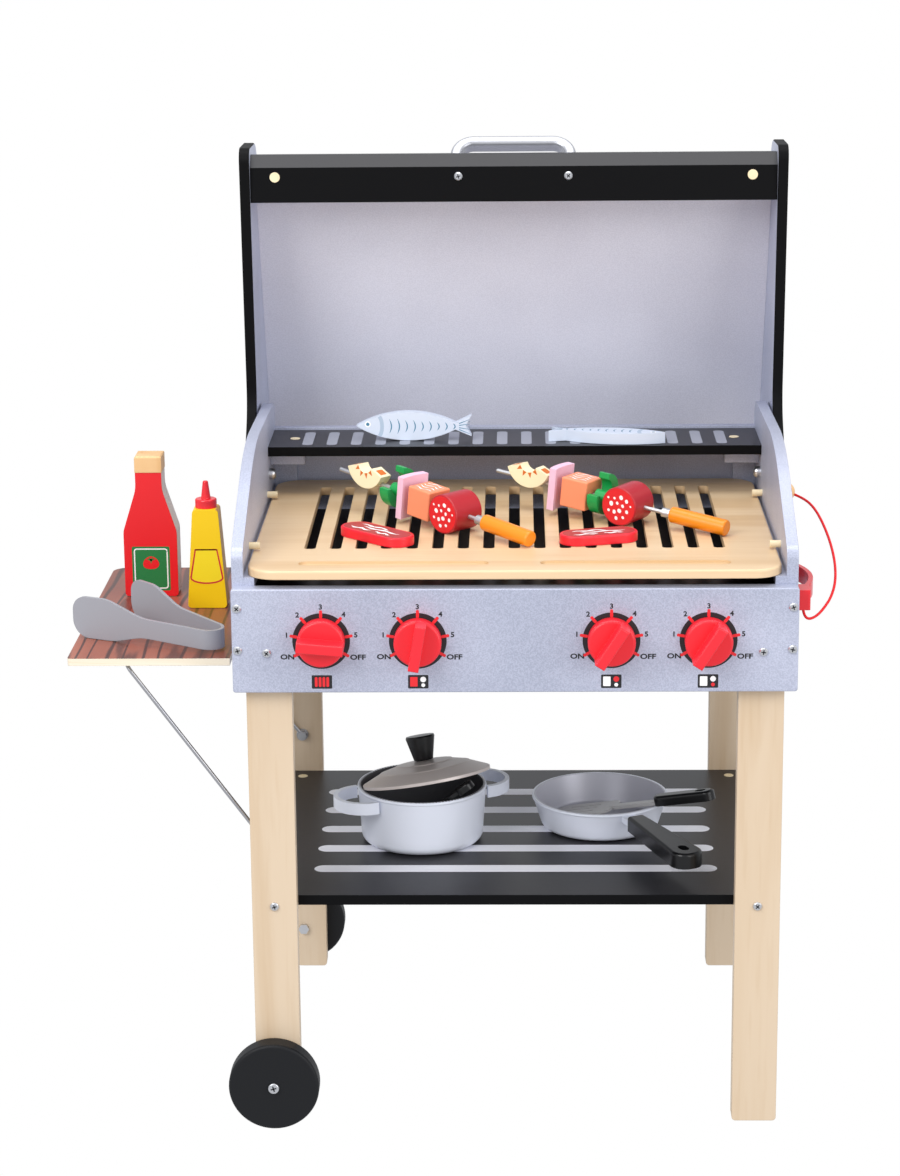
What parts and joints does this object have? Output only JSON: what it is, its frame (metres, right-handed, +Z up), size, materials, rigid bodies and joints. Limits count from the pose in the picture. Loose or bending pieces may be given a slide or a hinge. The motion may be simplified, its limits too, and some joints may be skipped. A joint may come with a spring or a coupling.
{
  "type": "toy barbecue grill",
  "caption": "Wooden toy barbecue grill on two wheels with a hinged lid, slotted plate, turning dials, folding side table and play food",
  "frame": {"origin": "centre of the footprint of everything but the loose cord, on the floor under the legs", "axes": "+X to the right as the viewer faces the control panel, +Y to the back, +Z up"},
  "size_m": [0.5752, 0.4404, 0.7122],
  "materials": {
    "silver_paint": "silver lacquer on wood, fine flake",
    "black_paint": "satin black lacquer on wood",
    "birch": "clear-lacquered birch plywood",
    "plate_wood": "clear-lacquered solid wood",
    "red_paint": "glossy red lacquer on wood",
    "pin_wood": "plain turned wood",
    "steel": "zinc-plated steel",
    "table_print": "printed wood grain on plywood, satin",
    "wheel_grey": "dark grey lacquer on wood, matt",
    "cord_red": "braided cord",
    "lid_grey": "warm grey moulded plastic with a metallic sheen",
    "grey_plastic": "grey moulded plastic, satin",
    "handle_silver": "silver-painted moulded handle",
    "grey_enamel": "light grey moulded plastic, glossy",
    "black_plastic": "black moulded plastic, satin",
    "sauce_red": "red lacquer with a printed label",
    "mustard_yellow": "yellow lacquer with a printed label",
    "cap_wood": "clear-lacquered wood",
    "food_paint": "painted wood and felt play food",
    "grip_yellow": "yellow-orange lacquer on wood",
    "fish_print": "printed wood"
  },
  "bodies": {
    "frame": {"leg_front_left": "birch", "leg_front_right": "birch", "leg_rear_left": "birch", "leg_rear_right": "birch", "bottom_shelf": "black_paint", "control_panel": "silver_paint", "side_panel_left": "silver_paint", "side_panel_right": "silver_paint", "back_panel": "silver_paint", "frame_battens": "silver_paint", "ember_board": "black_paint", "warming_rack": "black_paint", "dowel_pegs": "pin_wood", "knob_pins": "pin_wood", "frame_screws": "steel", "pivot_bolts": "steel", "table_hinge_leaves": "steel", "tether_bead": "cap_wood", "tether_cord": "cord_red"},
    "plate": {"grill_plate": "plate_wood"},
    "lid": {"lid_cheek_left": "black_paint", "lid_cheek_right": "black_paint", "lid_cover": "silver_paint", "lid_rails": "black_paint", "lid_handle": "handle_silver", "lid_fixings": "steel"},
    "table": {"side_table": "table_print", "table_fittings": "steel"},
    "bail": {"support_bail": "steel"},
    "wheel_f": {"wheel_front": "wheel_grey"},
    "wheel_r": {"wheel_rear": "wheel_grey"},
    "tool": {"tether_tool": "red_paint"},
    "ketchup": {"ketchup_bottle": "sauce_red", "ketchup_cap": "cap_wood"},
    "mustard": {"mustard_bottle": "mustard_yellow", "mustard_cap": "red_paint"},
    "tongs_body": {"tongs": "grey_plastic"},
    "skewer_a": {"skewer_a_spit": "steel", "skewer_a_grip": "grip_yellow", "skewer_a_food": "food_paint"},
    "skewer_b": {"skewer_b_spit": "steel", "skewer_b_grip": "grip_yellow", "skewer_b_food": "food_paint"},
    "meat_a": {"slice_a": "food_paint"},
    "meat_b": {"slice_b": "food_paint"},
    "fish_left": {"fish_a": "fish_print"},
    "fish_right": {"fish_b": "fish_print"},
    "pot_body": {"pot": "grey_enamel"},
    "pot_cover": {"pot_lid": "lid_grey", "pot_lid_knob": "black_plastic"},
    "spoon": {"pot_spoon": "black_plastic"},
    "pan_body": {"pan": "grey_enamel", "pan_handle": "black_plastic"},
    "spatula": {"spatula_blade": "grey_plastic", "spatula_grip": "black_plastic"},
    "dial_1": {"knob_1": "red_paint"},
    "dial_2": {"knob_2": "red_paint"},
    "dial_3": {"knob_3": "red_paint"},
    "dial_4": {"knob_4": "red_paint"}
  },
  "joints": [
    {"name": "lid_turn", "type": "hinge", "parent": "frame", "child": "lid", "pos_m": [0.0571, 0.06277, 0.449], "axis": [1, 0, 0], "range_deg": [0, 89.5]},
    {"name": "plate_slide", "type": "slide", "parent": "frame", "child": "plate", "axis": [0, -1, 0], "range_m": [0, 0.06]},
    {"name": "table_fold", "type": "hinge", "parent": "frame", "child": "table", "pos_m": [-0.1504, -0.18322, 0.354], "axis": [0, -1, 0], "range_deg": [0, 90]},
    {"name": "bail_swing", "type": "hinge", "parent": "frame", "child": "bail", "pos_m": [-0.1227, -0.16962, 0.209], "axis": [0, -1, 0], "range_deg": [0, 112]},
    {"name": "wheel_front_turn", "type": "hinge", "parent": "frame", "child": "wheel_f", "pos_m": [-0.1252, -0.18322, 0.0344], "axis": [0, 1, 0], "continuous": true},
    {"name": "wheel_rear_turn", "type": "hinge", "parent": "frame", "child": "wheel_r", "pos_m": [-0.1252, 0.14238, 0.0344], "axis": [0, 1, 0], "continuous": true},
    {"name": "tool_off_peg", "type": "slide", "parent": "frame", "child": "tool", "axis": [1, 0, 0], "range_m": [0, 0.012]},
    {"name": "dial_1_turn", "type": "hinge", "parent": "frame", "child": "dial_1", "pos_m": [-0.0829, -0.19523, 0.3818], "axis": [0, 1, 0], "continuous": true},
    {"name": "dial_2_turn", "type": "hinge", "parent": "frame", "child": "dial_2", "pos_m": [-0.0129, -0.19523, 0.3818], "axis": [0, 1, 0], "continuous": true},
    {"name": "dial_3_turn", "type": "hinge", "parent": "frame", "child": "dial_3", "pos_m": [0.1271, -0.19523, 0.3818], "axis": [0, 1, 0], "continuous": true},
    {"name": "dial_4_turn", "type": "hinge", "parent": "frame", "child": "dial_4", "pos_m": [0.1971, -0.19523, 0.3818], "axis": [0, 1, 0], "continuous": true},
    {"name": "ketchup_lift", "type": "slide", "parent": "table", "child": "ketchup", "axis": [0, 0, 1], "range_m": [0, 0.012]},
    {"name": "mustard_lift", "type": "slide", "parent": "table", "child": "mustard", "axis": [0, 0, 1], "range_m": [0, 0.012]},
    {"name": "tongs_body_lift", "type": "slide", "parent": "table", "child": "tongs_body", "axis": [0, 0, 1], "range_m": [0, 0.012]},
    {"name": "skewer_a_lift", "type": "slide", "parent": "plate", "child": "skewer_a", "axis": [0, 0, 1], "range_m": [0, 0.007]},
    {"name": "skewer_b_lift", "type": "slide", "parent": "plate", "child": "skewer_b", "axis": [0, 0, 1], "range_m": [0, 0.007]},
    {"name": "meat_a_lift", "type": "slide", "parent": "plate", "child": "meat_a", "axis": [0, 0, 1], "range_m": [0, 0.012]},
    {"name": "meat_b_lift", "type": "slide", "parent": "plate", "child": "meat_b", "axis": [0, 0, 1], "range_m": [0, 0.012]},
    {"name": "fish_left_lift", "type": "slide", "parent": "frame", "child": "fish_left", "axis": [0, 0, 1], "range_m": [0, 0.012]},
    {"name": "fish_right_lift", "type": "slide", "parent": "frame", "child": "fish_right", "axis": [0, 0, 1], "range_m": [0, 0.012]},
    {"name": "pot_body_lift", "type": "slide", "parent": "frame", "child": "pot_body", "axis": [0, 0, 1], "range_m": [0, 0.012]},
    {"name": "pot_cover_lift", "type": "slide", "parent": "pot_body", "child": "pot_cover", "axis": [0, 0, 1], "range_m": [0, 0.012]},
    {"name": "spoon_lift", "type": "slide", "parent": "pot_body", "child": "spoon", "axis": [0.7884, -0.1148, 0.6044], "range_m": [0, 0.006]},
    {"name": "pan_body_lift", "type": "slide", "parent": "frame", "child": "pan_body", "axis": [0, 0, 1], "range_m": [0, 0.012]},
    {"name": "spatula_lift", "type": "slide", "parent": "pan_body", "child": "spatula", "axis": [0, 0, 1], "range_m": [0, 0.012]}
  ],
  "couplings": [
    {"joint": "bail_swing", "follows": "table_fold", "ratio": 1.24}
  ]
}
